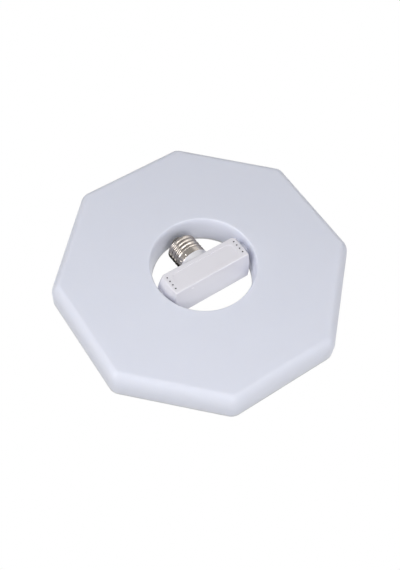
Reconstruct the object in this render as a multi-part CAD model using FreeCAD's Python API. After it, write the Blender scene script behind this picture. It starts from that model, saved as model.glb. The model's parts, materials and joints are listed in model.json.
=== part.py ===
# Folding ring ceiling light: an eight-sided luminous ring that turns on a driver box with a screw cap.
# Units are millimetres. The head (driver box and cap) is drawn about the pivot centre with the cap up:
# X along the pivot axis, Y away from the lid, Z towards the cap's tip. The ring is drawn in its own
# frame: X along the pivot axis, Y in the ring's plane, Z out of the luminous face.
# The finished part has its origin at the tip of the centre contact.
import FreeCAD
import Part
import math
import os

V = FreeCAD.Vector
ORIGIN = V(0, 0, 0)
X_AXIS = V(1, 0, 0)
Y_AXIS = V(0, 1, 0)
Z_AXIS = V(0, 0, 1)

# General clearances and the mesh of points under a free-form face
cut_overrun = 1.0
grid_steps = 8
running_gap = 0.05
seat_gap = 0.15
body_gap = 0.3

# Pose as stored: angle between the cap and the ring's plane
fold_angle_deg = 7.0

# Ring outline and section
across_flats = 231.0
ring_sides = 8
corner_radius = 11.4
pivot_to_face = 13.6
side_depth = 25.9
hub_depth = 27.6
edge_round_width = 8.3
edge_round_depth = 15.0
flare_width = 2.55
flare_depth = 11.4
diffuser_wall = 2.0
cover_thickness = 2.0

# Back cover
hub_pad_width = 17.9
hub_slope_run = 10.0
skirt_thickness = 1.6
skirt_height = 5.0
hub_skirt_height = 2.6

# LED board and what sits on it
board_inset = 12.0
board_hole_margin = 23.9
board_thickness = 1.2
standoff_height = 3.0
standoff_radius = 3.6
inner_chip_band_share = 0.333
standoff_band_share = 0.575
outer_chip_edge_distance = 5.5
outer_chip_count = 32
inner_chip_count = 24
chip_length = 3.5
chip_width = 2.8
chip_height = 0.8
connector_length = 9.0
connector_width = 5.0
connector_height = 4.4
connector_pin_pitch = 3.0
connector_wall = 1.0

# Screws of the ring
board_screw_shank_radius = 1.25
board_screw_head_radius = 2.7
board_screw_head_height = 1.7
board_screw_length = 5.0
cover_screw_shank_radius = 1.4
cover_screw_head_radius = 2.8
cover_screw_head_height = 1.6
cover_screw_length = 9.0
cover_boss_radius = 3.8
cover_boss_height = 9.0

# Pivot
trunnion_radius = 4.0
trunnion_bore_radius = 2.4
trunnion_flange_radius = 4.75
trunnion_flange_thickness = 1.5
pivot_boss_radius = 5.4
pivot_boss_setback = 1.1
block_nose_radius = 5.8
block_setback = 4.9
block_length = 8.0
block_width = 22.0
block_crown = 8.8
block_screw_spacing = 15.0
block_screw_length = 9.0
washer_thickness = 0.8
washer_radius = 7.4
nut_across_flats = 13.0
nut_thickness = 4.2
trunnion_tail = 1.6

# Driver housing
housing_width = 22.6
housing_height = 29.4
housing_end_barrel = 0.9
housing_end_dome = 4.9
housing_cap_side = 6.9
housing_wall = 2.0
housing_edge_radius = 1.1
housing_cap_corner_radius = 3.0
housing_end_wall = 1.5
housing_hole_gap = 6.8
neck_lip = 0.2
neck_taper = 0.3
spigot_wall = 3.1
vent_radius = 0.7
vent_pitch = 4.2
vent_count = 4
vent_end_distance = 1.2
vent_wall = 0.8
vent_pocket_margin = 0.6

# Lid of the driver housing, with a shallow sunk panel
lid_thickness = 1.9
lid_panel_end_border = 6.3
lid_panel_border = 4.3
lid_panel_corner_radius = 4.5
lid_panel_recess = 0.4
lid_rib_length = 50.0
lid_rib_thickness = 1.0
lid_rib_height = 2.4

# Screw cap
cap_length = 27.0
cap_nose_length = 7.884
cap_tip_gap = 2.2
shell_radius = 13.1
thread_depth = 0.9
shell_thickness = 0.45
shell_skirt_length = 4.6
thread_turns = 4
shell_mouth_step = 3.5
spigot_length = 8.0
insulator_tip_radius = 5.2
insulator_depth = 2.4
contact_radius = 4.8
contact_thickness = 1.5
contact_round = 0.8
contact_stem_radius = 1.3
contact_stem_length = 6.0

# Driver board and its parts
pcb_thickness = 1.6
pcb_side_gap = 0.5
pcb_end_gap = 3.8
pcb_standoff = 2.6
pcb_post_radius = 2.0
pcb_screw_shank_radius = 0.9
pcb_screw_head_radius = 1.9
pcb_screw_head_height = 1.2
pcb_screw_length = 3.4
pcb_screw_inset = 3.0
core_length = 16.0
core_depth = 12.0
core_height = 14.0
core_leg_thickness = 3.4
winding_radius = 4.4
winding_gap = 0.3
bulk_radius = 5.0
bulk_height = 16.5
output_radius = 4.0
output_height = 12.0
film_length = 5.2
film_width = 9.0
film_height = 10.5
film_start = 8.5
fuse_bulk_gap = 1.0
bulk_core_gap = 2.0
core_output_gap = 3.5
choke_end_gap = 1.1
choke_radius = 2.8
choke_height = 8.0
choke_flange = 1.2
choke_waist_share = 0.7
bridge_length = 5.6
bridge_width = 4.8
bridge_height = 2.3
chip_body_length = 5.0
chip_body_width = 4.0
chip_body_height = 1.6
fuse_radius = 1.5
fuse_length = 7.0
fuse_lift = 0.4
small_part_gap = 0.8

# Leads
lead_radius = 0.6
lead_pitch = 2.0
lead_bend_radius = 2.2
lead_end_gap = 0.4
mains_lead_wall_distance = 2.5

# Driver board, long enough for its row of parts, and the box round it
pcb_length = (
    film_start + fuse_length / 2 + fuse_bulk_gap + 2 * bulk_radius + bulk_core_gap + core_length
    + core_output_gap + 2 * output_radius + small_part_gap + 2 * choke_radius + choke_end_gap
)
film_centre = film_start - pcb_length / 2
bulk_centre = film_centre + fuse_length / 2 + fuse_bulk_gap + bulk_radius
core_centre = bulk_centre + bulk_radius + bulk_core_gap + core_length / 2
output_centre = core_centre + core_length / 2 + core_output_gap + output_radius
pcb_screw_spacing = pcb_length - 2 * pcb_screw_inset
cavity_length = pcb_length + 2 * pcb_end_gap
housing_edge_length = cavity_length + 2 * housing_end_wall
vent_row_spacing = cavity_length - 2 * vent_end_distance
lid_panel_length = housing_edge_length - 2 * lid_panel_end_border

# Hole round the box, the pivots beside it and the rings of light round the hole
hole_radius = housing_edge_length / 2 + housing_hole_gap
pivot_boss_reach = hole_radius - pivot_boss_setback
block_start = hole_radius + block_setback
hub_pad_radius = hole_radius + hub_pad_width
board_hole_radius = hole_radius + board_hole_margin
board_band = across_flats / 2 - board_inset - board_hole_radius
inner_chip_circle_radius = board_hole_radius + inner_chip_band_share * board_band
standoff_circle_radius = board_hole_radius + standoff_band_share * board_band
outer_chip_circle_radius = board_hole_radius + board_band - outer_chip_edge_distance

# Cap, whose tip just clears the hole's wall as the ring turns past it
contact_tip_z = hole_radius - cap_tip_gap
cap_rim_z = contact_tip_z - cap_length
thread_pitch = (cap_length - shell_skirt_length - cap_nose_length) / thread_turns
shell_root_radius = shell_radius - thread_depth
shell_mouth_radius = shell_radius - shell_mouth_step

# Neck that carries the shell, and the leads that pass through its bore
neck_tip_radius = shell_radius + neck_lip
neck_radius = neck_tip_radius + neck_taper
spigot_radius = shell_root_radius - shell_thickness - seat_gap
neck_bore_radius = spigot_radius - spigot_wall
mains_lead_spread = 2 * (neck_bore_radius - mains_lead_wall_distance)

# Places worked out from the sizes above
half_flats = across_flats / 2
face_z = pivot_to_face
side_back_z = face_z - side_depth
side_seam_z = side_back_z + cover_thickness
hub_back_z = face_z - hub_depth
hub_seam_z = hub_back_z + cover_thickness
board_back_z = side_seam_z + standoff_height
board_front_z = board_back_z + board_thickness
housing_rim_z = housing_cap_side
housing_foot_z = housing_cap_side - housing_width
housing_mid_z = (housing_rim_z + housing_foot_z) / 2
half_height = housing_height / 2
half_edge = housing_edge_length / 2
half_cavity = cavity_length / 2
pcb_back_y = half_height - housing_wall - pcb_standoff
pcb_front_y = pcb_back_y - pcb_thickness
nose_start = pivot_boss_reach + body_gap
block_end = block_start + block_length
nut_start = block_end + washer_thickness + body_gap
trunnion_end = nut_start + nut_thickness + trunnion_tail


def polygon_face(points):
    """Plane face inside a closed outline of points."""
    return Part.Face(Part.makePolygon(points + [points[0]]))


def revolved(points, axis=Z_AXIS):
    """Solid of revolution about an axis through the pivot centre."""
    return polygon_face(points).revolve(ORIGIN, axis, 360)


def profile_solid(edges, axis=Z_AXIS):
    """Solid of revolution of an outline with curved edges."""
    wire = Part.Wire(Part.__sortEdges__(edges))
    return Part.Face(wire).revolve(ORIGIN, axis, 360)


def line(start, end):
    return Part.LineSegment(start, end).toShape()


def quarter_ellipse(centre, first, second):
    """Quarter of an ellipse between the ends of two half axes."""
    if first.Length < second.Length:
        first, second = second, first
    ellipse = Part.Ellipse(centre + first, centre + second, centre)
    return Part.ArcOfEllipse(ellipse, 0, math.pi / 2).toShape()


def octagon_wire(inset, z):
    """The ring's outline, moved inwards, with its rounded corners."""
    radius = corner_radius - inset
    half_turn = math.pi / ring_sides
    centre_reach = (half_flats - corner_radius) / math.cos(half_turn)
    edges = []
    ends = []
    for k in range(ring_sides):
        angle = half_turn * (2 * k + 1)
        centre = V(centre_reach * math.cos(angle), centre_reach * math.sin(angle), z)
        points = []
        for turn in (-half_turn, 0, half_turn):
            spoke = V(math.cos(angle + turn), math.sin(angle + turn), 0)
            points.append(centre + spoke * radius)
        edges.append(Part.Arc(points[0], points[1], points[2]).toShape())
        ends.append((points[0], points[2]))
    sides = []
    for k in range(ring_sides):
        sides.append(line(ends[k - 1][1], ends[k][0]))
    loop = []
    for k in range(ring_sides):
        loop.append(sides[k])
        loop.append(edges[k])
    return Part.Wire(loop)


def octagon_plate(inset, low, high):
    """Plate with the ring's outline between two heights."""
    return Part.Face(octagon_wire(inset, low)).extrude(V(0, 0, high - low))


def cylinder(radius, start, length, direction):
    return Part.makeCylinder(radius, length, start, direction)


def box(low, high):
    size = high - low
    return Part.makeBox(size.x, size.y, size.z, low)


def around(shape, count, offset_deg=0.0):
    """Copies of a shape, evenly spaced about the ring's axis."""
    copies = []
    for k in range(count):
        copy = shape.copy()
        copy.rotate(ORIGIN, Z_AXIS, offset_deg + 360.0 * k / count)
        copies.append(copy)
    return copies


def fused(shapes):
    solid = shapes[0].fuse(shapes[1:]) if len(shapes) > 1 else shapes[0]
    return solid.removeSplitter()


def mirrored(shape):
    """The same piece on the other side of the ring's centre."""
    return shape.mirror(ORIGIN, X_AXIS)


def diffuser_rim():
    """Outer wall with its rounded front edge, swept round the outline."""
    low = side_seam_z
    bend = face_z - edge_round_depth
    y_start = -math.tan(math.pi / ring_sides) * (half_flats - corner_radius)
    outer = half_flats

    def at(inward, z):
        return V(outer - inward, y_start, z)

    inner_rise = V(0, 0, edge_round_depth - diffuser_wall)
    inner_run = V(edge_round_width - diffuser_wall, 0, 0)
    edges = [
        line(at(0, low), at(0, bend)),
        quarter_ellipse(at(edge_round_width, bend), V(edge_round_width, 0, 0), V(0, 0, edge_round_depth)),
        line(at(edge_round_width, face_z), at(edge_round_width, face_z - diffuser_wall)),
        quarter_ellipse(at(edge_round_width, bend), inner_run, inner_rise),
        line(at(diffuser_wall, bend), at(diffuser_wall, low)),
        line(at(diffuser_wall, low), at(0, low)),
    ]
    profile = Part.Wire(Part.__sortEdges__(edges))
    return octagon_wire(0, low).makePipeShell([profile], True, False)


def diffuser_hub():
    """Wall of the hole, flared towards the luminous face."""
    bend = face_z - flare_depth
    lip = hole_radius + flare_width
    inside = hole_radius + diffuser_wall
    edges = [
        line(V(hole_radius, 0, hub_seam_z), V(hole_radius, 0, bend)),
        quarter_ellipse(V(lip, 0, bend), V(-flare_width, 0, 0), V(0, 0, flare_depth)),
        line(V(lip, 0, face_z), V(lip + diffuser_wall, 0, face_z)),
        line(V(lip + diffuser_wall, 0, face_z), V(lip + diffuser_wall, 0, face_z - diffuser_wall)),
        quarter_ellipse(
            V(lip + diffuser_wall, 0, bend), V(-flare_width, 0, 0), V(0, 0, flare_depth - diffuser_wall)
        ),
        line(V(inside, 0, bend), V(inside, 0, hub_seam_z)),
        line(V(inside, 0, hub_seam_z), V(hole_radius, 0, hub_seam_z)),
    ]
    return profile_solid(edges)


def cover_screw_places():
    """Middle of each screw boss in the ring's corners."""
    reach = (half_flats - corner_radius) / math.cos(math.pi / ring_sides)
    return V(reach, 0, 0)


def make_diffuser():
    hub_edge = hole_radius + flare_width + diffuser_wall
    plate = octagon_plate(edge_round_width, face_z - diffuser_wall, face_z)
    plate = plate.cut(cylinder(hub_edge, V(0, 0, face_z - 2 * diffuser_wall), 3 * diffuser_wall, Z_AXIS))
    boss_foot = side_seam_z + seat_gap
    boss = cylinder(cover_boss_radius, cover_screw_places() + V(0, 0, boss_foot), cover_boss_height, Z_AXIS)
    web_start = cover_screw_places().x + cover_boss_radius / 2
    web_end = half_flats / math.cos(math.pi / ring_sides) - diffuser_wall
    web = box(
        V(web_start, -skirt_thickness / 2, boss_foot + skirt_height),
        V(web_end - corner_radius * (1 / math.cos(math.pi / ring_sides) - 1), skirt_thickness / 2,
          boss_foot + cover_boss_height),
    )
    rib = fused([boss, web])
    bosses = around(rib, ring_sides, 180.0 / ring_sides)
    solid = fused([diffuser_rim(), plate, diffuser_hub()] + bosses)
    pilot = cylinder(
        cover_screw_shank_radius + running_gap,
        cover_screw_places() + V(0, 0, side_back_z - cut_overrun),
        cover_screw_length + cut_overrun + running_gap,
        Z_AXIS,
    )
    solid = solid.cut(around(pilot, ring_sides, 180.0 / ring_sides))
    nose_hole = cylinder(block_nose_radius + seat_gap, V(-block_start, 0, 0), 2 * block_start, X_AXIS)
    return solid.cut(nose_hole)


def screw_recess(place, back_z, head_radius, head_height, shank_radius):
    """Countersunk hole for a screw driven from behind."""
    sink = Part.makeCone(
        head_radius + seat_gap, shank_radius + seat_gap, head_height, place + V(0, 0, back_z), Z_AXIS
    )
    shank = cylinder(
        shank_radius + seat_gap,
        place + V(0, 0, back_z - cut_overrun),
        cover_thickness + 2 * cut_overrun,
        Z_AXIS,
    )
    return sink.fuse(shank)


def make_back_cover():
    slope_end = hub_pad_radius + hub_slope_run
    plate = octagon_plate(0, side_back_z, side_seam_z)
    plate_start = V(0, 0, side_back_z - cut_overrun)
    plate = plate.cut(cylinder(slope_end, plate_start, cover_thickness + 2 * cut_overrun, Z_AXIS))
    dish = revolved([
        V(hole_radius, 0, hub_back_z),
        V(hub_pad_radius, 0, hub_back_z),
        V(slope_end, 0, side_back_z),
        V(slope_end, 0, side_seam_z),
        V(hub_pad_radius, 0, hub_seam_z),
        V(hole_radius, 0, hub_seam_z),
    ])
    skirt_inset = diffuser_wall + seat_gap
    skirt = octagon_plate(skirt_inset, side_seam_z, side_seam_z + skirt_height)
    skirt = skirt.cut(
        octagon_plate(
            skirt_inset + skirt_thickness,
            side_seam_z - cut_overrun,
            side_seam_z + skirt_height + cut_overrun,
        )
    )
    hub_skirt_radius = hole_radius + diffuser_wall + seat_gap
    hub_skirt = revolved([
        V(hub_skirt_radius, 0, hub_seam_z),
        V(hub_skirt_radius + skirt_thickness, 0, hub_seam_z),
        V(hub_skirt_radius + skirt_thickness, 0, hub_seam_z + hub_skirt_height),
        V(hub_skirt_radius, 0, hub_seam_z + hub_skirt_height),
    ])
    standoff = cylinder(standoff_radius, V(standoff_circle_radius, 0, side_seam_z), standoff_height, Z_AXIS)
    standoffs = around(standoff, ring_sides)
    solid = fused([plate, dish, skirt, hub_skirt] + standoffs)
    pilot = cylinder(
        board_screw_shank_radius + running_gap,
        V(standoff_circle_radius, 0, board_front_z - board_screw_length - running_gap),
        board_screw_length + cut_overrun,
        Z_AXIS,
    )
    cuts = around(pilot, ring_sides)
    sink = screw_recess(
        cover_screw_places(),
        side_back_z,
        cover_screw_head_radius,
        cover_screw_head_height,
        cover_screw_shank_radius,
    )
    cuts += around(sink, ring_sides, 180.0 / ring_sides)
    for side in (-1, 1):
        for row in (-0.5, 0.5):
            place = V(side * (block_start + block_end) / 2, row * block_screw_spacing, 0)
            cuts.append(screw_recess(
                place, hub_back_z, cover_screw_head_radius, cover_screw_head_height, cover_screw_shank_radius
            ))
    return solid.cut(cuts)


def make_led_board():
    relief_radius = cover_screw_places().x - cover_boss_radius - small_part_gap
    relief = cylinder(relief_radius, V(0, 0, board_back_z), board_thickness, Z_AXIS)
    board = board_outline().common(relief)
    hole_start = V(0, 0, board_back_z - cut_overrun)
    hole = cylinder(board_hole_radius, hole_start, board_thickness + 2 * cut_overrun, Z_AXIS)
    screw_hole = cylinder(
        board_screw_shank_radius + seat_gap,
        V(standoff_circle_radius, 0, board_back_z - cut_overrun),
        board_thickness + 2 * cut_overrun,
        Z_AXIS,
    )
    return board.cut([hole] + around(screw_hole, ring_sides))


def board_outline():
    """Eight-sided outline a little inside the diffuser's wall."""
    reach = (half_flats - board_inset) / math.cos(math.pi / ring_sides)
    points = []
    for k in range(ring_sides):
        angle = math.pi / ring_sides * (2 * k + 1)
        points.append(V(reach * math.cos(angle), reach * math.sin(angle), board_back_z))
    return polygon_face(points).extrude(V(0, 0, board_thickness))


def led_circle(radius, count):
    """Light-emitting packages spaced round a circle."""
    chip = box(
        V(radius - chip_width / 2, -chip_length / 2, board_front_z),
        V(radius + chip_width / 2, chip_length / 2, board_front_z + chip_height),
    )
    return Part.makeCompound(around(chip, count, 180.0 / count))


def pan_screw(place, seat_z, shank_radius, head_radius, head_height, length):
    """Round-headed screw whose head rests on a seat and whose point faces down."""
    head = cylinder(head_radius, place + V(0, 0, seat_z), head_height, Z_AXIS)
    shank = cylinder(shank_radius, place + V(0, 0, seat_z - length), length, Z_AXIS)
    return head.fuse(shank).removeSplitter()


def sunk_screw(place, back_z, length):
    """Countersunk screw driven from behind, its head flush with the back."""
    head = Part.makeCone(
        cover_screw_head_radius,
        cover_screw_shank_radius,
        cover_screw_head_height,
        place + V(0, 0, back_z),
        Z_AXIS,
    )
    shank = cylinder(cover_screw_shank_radius, place + V(0, 0, back_z), length, Z_AXIS)
    return head.fuse(shank).removeSplitter()


def make_board_screws():
    screw = pan_screw(
        V(standoff_circle_radius, 0, 0),
        board_front_z,
        board_screw_shank_radius,
        board_screw_head_radius,
        board_screw_head_height,
        board_screw_length,
    )
    return Part.makeCompound(around(screw, ring_sides))


def make_cover_screws():
    screw = sunk_screw(cover_screw_places(), side_back_z, cover_screw_length)
    return Part.makeCompound(around(screw, ring_sides, 180.0 / ring_sides))


def make_block_screws():
    screws = []
    for side in (-1, 1):
        for row in (-0.5, 0.5):
            place = V(side * (block_start + block_end) / 2, row * block_screw_spacing, 0)
            screws.append(sunk_screw(place, hub_back_z, block_screw_length))
    return Part.makeCompound(screws)


def connector_start():
    return board_hole_radius + connector_wall


def make_board_connector():
    """Plug-in terminal at the board's inner edge, with a slot for each lead."""
    low = V(connector_start(), -connector_length / 2, board_front_z)
    body = box(low, low + V(connector_width, connector_length, connector_height))
    slots = []
    for row in (-0.5, 0.5):
        slots.append(cylinder(
            lead_radius + seat_gap,
            V(connector_start() - cut_overrun, row * connector_pin_pitch, connector_lead_z()),
            connector_width + cut_overrun - connector_wall,
            X_AXIS,
        ))
    return body.cut(slots)


def connector_lead_z():
    return board_front_z + connector_height / 2


def make_pivot_block():
    """Bearing block on the back cover, with a round nose through the hole's wall."""
    nose = cylinder(block_nose_radius, V(nose_start, 0, 0), block_start - nose_start, X_AXIS)
    base = box(V(block_start, -block_width / 2, hub_seam_z), V(block_end, block_width / 2, 0))
    crown = box(V(block_start, -block_crown, 0), V(block_end, block_crown, block_crown))
    round_crown = cylinder(block_crown, V(block_start, 0, 0), block_length, X_AXIS)
    crown = crown.common(round_crown)
    solid = fused([nose, base, crown])
    bore_start = V(nose_start - cut_overrun, 0, 0)
    cuts = [cylinder(trunnion_radius + running_gap, bore_start, 2 * block_start, X_AXIS)]
    for row in (-0.5, 0.5):
        cuts.append(cylinder(
            cover_screw_shank_radius + running_gap,
            V((block_start + block_end) / 2, row * block_screw_spacing, hub_back_z),
            block_screw_length + running_gap,
            Z_AXIS,
        ))
    return solid.cut(cuts)


def make_friction_washer():
    """Spring washer between the bearing block and the nut."""
    ring = cylinder(washer_radius, V(block_end, 0, 0), washer_thickness, X_AXIS)
    return ring.cut(cylinder(trunnion_radius + seat_gap, V(block_start, 0, 0), 2 * block_length, X_AXIS))


def lead(points):
    """Insulated lead along straight runs joined by round bends."""
    edges = []
    start = points[0]
    for k in range(1, len(points) - 1):
        corner = points[k]
        inward = corner - points[k - 1]
        onward = points[k + 1] - corner
        inward.normalize()
        onward.normalize()
        turn = inward.getAngle(onward)
        cut_back = lead_bend_radius * math.tan(turn / 2)
        before = corner - inward * cut_back
        after = corner + onward * cut_back
        bisector = onward - inward
        bisector.normalize()
        bulge = lead_bend_radius * (1 / math.cos(turn / 2) - 1)
        edges.append(line(start, before))
        edges.append(Part.Arc(before, corner + bisector * bulge, after).toShape())
        start = after
    edges.append(line(start, points[-1]))
    path = Part.Wire(edges)
    direction = points[1] - points[0]
    section = Part.Wire(Part.makeCircle(lead_radius, points[0], direction))
    return path.makePipeShell([section], True, False)


def make_ring_leads():
    """Leads from the trunnion's end to the board's terminal."""
    leads = []
    start = trunnion_end + lead_end_gap
    target = connector_start() + connector_width / 2
    for row in (-0.5, 0.5):
        drop = connector_lead_z()
        step = (connector_start() - start) / 2
        leads.append(ring_lead(row, start, start + step, target, drop))
    return Part.makeCompound(leads)


def ring_lead(row, start, middle, target, drop):
    near = V(start, row * lead_pitch, 0)
    low = V(middle, row * (lead_pitch + connector_pin_pitch) / 2, drop / 2)
    far = V(target, row * connector_pin_pitch, drop)
    gate = V(connector_start(), row * connector_pin_pitch, drop)
    edges = [line(near, low), line(low, gate), line(gate, far)]
    path = Part.Wire(edges)
    section = Part.Wire(Part.makeCircle(lead_radius, near, low - near))
    return path.makePipeShell([section], True, False, 2)


def housing_end_face():
    """Bulging end of the driver box: a barrel, and a dome round the pivot that dies out at the foot."""
    rows = []
    for step in range(grid_steps + 1):
        z = housing_foot_z - cut_overrun + (housing_width + 2 * cut_overrun) * step / grid_steps
        row = []
        for turn in range(grid_steps + 1):
            y = (half_height + cut_overrun) * (2.0 * turn / grid_steps - 1.0)
            across = 1.0 - (y / half_height) ** 2
            along = 1.0 - (z / housing_foot_z) ** 2
            row.append(V(half_edge + across * (housing_end_barrel + housing_end_dome * along), y, z))
        rows.append(row)
    surface = Part.BSplineSurface()
    surface.interpolate(rows)
    return surface.toShape()


def housing_blank():
    """Outer form of the driver box with bulging ends, without its neck."""
    reach = hole_radius + cut_overrun
    half = box(V(0, -half_height, housing_foot_z), V(reach, half_height, housing_rim_z))
    half = half.common(housing_end_face().extrude(V(-reach, 0, 0)))
    whole = half.fuse(mirrored(half)).removeSplitter()
    for z, radius in ((housing_foot_z, housing_edge_radius), (housing_rim_z, housing_cap_corner_radius)):
        uprights = []
        for edge in whole.Edges:
            ends = [vertex.Point for vertex in edge.Vertexes]
            if len(ends) != 2 or abs(ends[0].z - z) > running_gap:
                continue
            if abs((ends[1] - ends[0]).normalize().y) > 0.9:
                uprights.append(edge)
        whole = whole.makeFillet(radius, uprights)
    rims = []
    for edge in whole.Edges:
        middle = edge.valueAt((edge.FirstParameter + edge.LastParameter) / 2)
        if abs(abs(middle.y) - half_height) < running_gap:
            rims.append(edge)
    return whole.makeFillet(housing_edge_radius, rims)


def lid_slab(depth):
    """Block that holds the driver box's outer layer on the lid side, but not the neck above it."""
    reach = hole_radius + cut_overrun
    return box(
        V(-reach, -half_height - cut_overrun, housing_foot_z - cut_overrun),
        V(reach, depth - half_height, housing_rim_z + running_gap),
    )


def rounded_panel(length, low_z, high_z, radius, start_y, depth):
    """Flat panel with round corners, parallel to the lid."""
    panel = box(V(-length / 2, start_y, low_z), V(length / 2, start_y + depth, high_z))
    corners = []
    for edge in panel.Edges:
        direction = edge.tangentAt(edge.FirstParameter)
        if abs(direction.y) > 0.9:
            corners.append(edge)
    return panel.makeFillet(radius, corners)


def vent_holes():
    """Bores of the two rows of vents in the lid, each row opening into a pocket that thins the lid."""
    bores = []
    pocket_rise = (vent_count - 1) / 2 * vent_pitch + vent_radius + vent_pocket_margin
    pocket_start = vent_row_spacing / 2 - vent_radius - vent_pocket_margin
    for side in (-1, 1):
        near, far = sorted([side * pocket_start, side * half_cavity])
        bores.append(box(
            V(near, vent_wall - half_height, housing_mid_z - pocket_rise),
            V(far, lid_thickness - half_height + cut_overrun, housing_mid_z + pocket_rise),
        ))
        for k in range(vent_count):
            place_z = housing_mid_z + (k - (vent_count - 1) / 2) * vent_pitch
            start = V(side * vent_row_spacing / 2, -half_height - cut_overrun, place_z)
            bores.append(cylinder(vent_radius, start, lid_thickness + 2 * cut_overrun, Y_AXIS))
    return bores


def make_driver_housing():
    solid = housing_blank()
    neck = revolved([
        V(0, 0, housing_rim_z - housing_wall / 2),
        V(neck_radius, 0, housing_rim_z - housing_wall / 2),
        V(neck_radius, 0, housing_rim_z),
        V(neck_tip_radius, 0, cap_rim_z),
        V(shell_radius - shell_thickness - seat_gap, 0, cap_rim_z),
        V(shell_radius - shell_thickness - seat_gap, 0, cap_rim_z + shell_skirt_length - seat_gap),
        V(spigot_radius, 0, cap_rim_z + shell_skirt_length),
        V(spigot_radius, 0, cap_rim_z + spigot_length),
        V(0, 0, cap_rim_z + spigot_length),
    ])
    boss = cylinder(pivot_boss_radius, V(-pivot_boss_reach, 0, 0), 2 * pivot_boss_reach, X_AXIS)
    solid = fused([solid, neck, boss])
    cavity = box(
        V(-half_cavity, -half_height - cut_overrun, housing_foot_z + housing_wall),
        V(half_cavity, half_height - housing_wall, housing_rim_z - housing_wall),
    )
    solid = solid.cut(cavity)
    bore_end = cap_rim_z + spigot_length + cut_overrun
    neck_bore = cylinder(neck_bore_radius, V(0, 0, housing_mid_z), bore_end - housing_mid_z, Z_AXIS)
    solid = solid.cut(neck_bore)
    pivot_bore = cylinder(
        trunnion_radius + running_gap, V(-pivot_boss_reach - cut_overrun, 0, 0),
        2 * (pivot_boss_reach + cut_overrun), X_AXIS
    )
    solid = solid.cut([lid_slab(lid_thickness), pivot_bore])
    posts = []
    pilots = []
    for side in (-1, 1):
        foot = V(side * pcb_screw_spacing / 2, half_height - housing_wall - pcb_standoff, housing_mid_z)
        posts.append(cylinder(pcb_post_radius, foot, pcb_standoff + housing_wall / 2, Y_AXIS))
        pilots.append(cylinder(
            pcb_screw_shank_radius + running_gap,
            foot,
            pcb_screw_length - pcb_thickness + running_gap,
            Y_AXIS,
        ))
    return fused([solid] + posts).cut(pilots)


def make_driver_lid():
    """Vented lid over the whole side, with its two long ribs inside the walls."""
    plate = housing_blank().common(lid_slab(lid_thickness - running_gap))
    panel = rounded_panel(
        lid_panel_length,
        housing_foot_z + lid_panel_border,
        housing_rim_z - lid_panel_border,
        lid_panel_corner_radius,
        -half_height - cut_overrun,
        cut_overrun + lid_panel_recess,
    )
    rib_start = lid_thickness / 2 - half_height
    rib_end = lid_thickness + lid_rib_height - half_height
    foot_side = housing_foot_z + housing_wall + seat_gap
    cap_side = housing_rim_z - housing_wall - seat_gap
    ribs = []
    for low, high in ((foot_side, foot_side + lid_rib_thickness), (cap_side - lid_rib_thickness, cap_side)):
        ribs.append(box(V(-lid_rib_length / 2, rib_start, low), V(lid_rib_length / 2, rib_end, high)))
    return fused([plate] + ribs).cut([panel] + vent_holes())


def make_trunnion():
    """Hollow pivot tube with an inner flange."""
    flange = cylinder(
        trunnion_flange_radius,
        V(half_cavity - trunnion_flange_thickness, 0, 0),
        trunnion_flange_thickness,
        X_AXIS,
    )
    tube = cylinder(trunnion_radius, V(half_cavity - trunnion_flange_thickness / 2, 0, 0),
                    trunnion_end - half_cavity + trunnion_flange_thickness / 2, X_AXIS)
    bore = cylinder(trunnion_bore_radius, ORIGIN, 2 * trunnion_end, X_AXIS)
    return fused([flange, tube]).cut(bore)


def make_trunnion_nut():
    reach = nut_across_flats / 2 / math.cos(math.pi / 6)
    points = []
    for k in range(6):
        angle = math.pi / 3 * k
        points.append(V(nut_start, reach * math.cos(angle), reach * math.sin(angle)))
    nut = polygon_face(points).extrude(V(nut_thickness, 0, 0))
    chamfer = Part.makeCone(
        reach,
        nut_across_flats / 2 - seat_gap,
        nut_thickness / 2,
        V(nut_start + nut_thickness / 2, 0, 0),
        X_AXIS,
    )
    lower = box(V(nut_start, -reach, -reach), V(nut_start + nut_thickness / 2, reach, reach))
    nut = nut.common(lower.fuse(chamfer))
    return nut.cut(cylinder(trunnion_radius + running_gap, V(block_start, 0, 0), trunnion_end, X_AXIS))


def thread_edges(start_z):
    """Rolled round thread in section: crest and root arcs of one radius that meet in a tangent."""
    half_rise = (shell_radius - shell_root_radius) / 2
    quarter = thread_pitch / 4
    radius = (quarter ** 2 + half_rise ** 2) / (2 * half_rise)
    sweep = math.asin(quarter / radius)
    edges = []
    z = start_z
    for k in range(2 * thread_turns):
        falling = k % 2 == 0
        for part in range(2):
            crest = (part == 0) == falling
            at_extreme_first = part == 0
            extreme_z = z if at_extreme_first else z + quarter
            extreme_r = shell_radius if crest else shell_root_radius
            sign = -1 if crest else 1
            facing = 1 if at_extreme_first else -1
            points = []
            for share in (0.0, 0.5, 1.0):
                angle = sweep * (share if at_extreme_first else 1.0 - share)
                points.append(V(
                    extreme_r + sign * radius * (1 - math.cos(angle)),
                    0,
                    extreme_z + facing * radius * math.sin(angle),
                ))
            edges.append(Part.Arc(points[0], points[1], points[2]).toShape())
            z += quarter
    return edges, z


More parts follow.
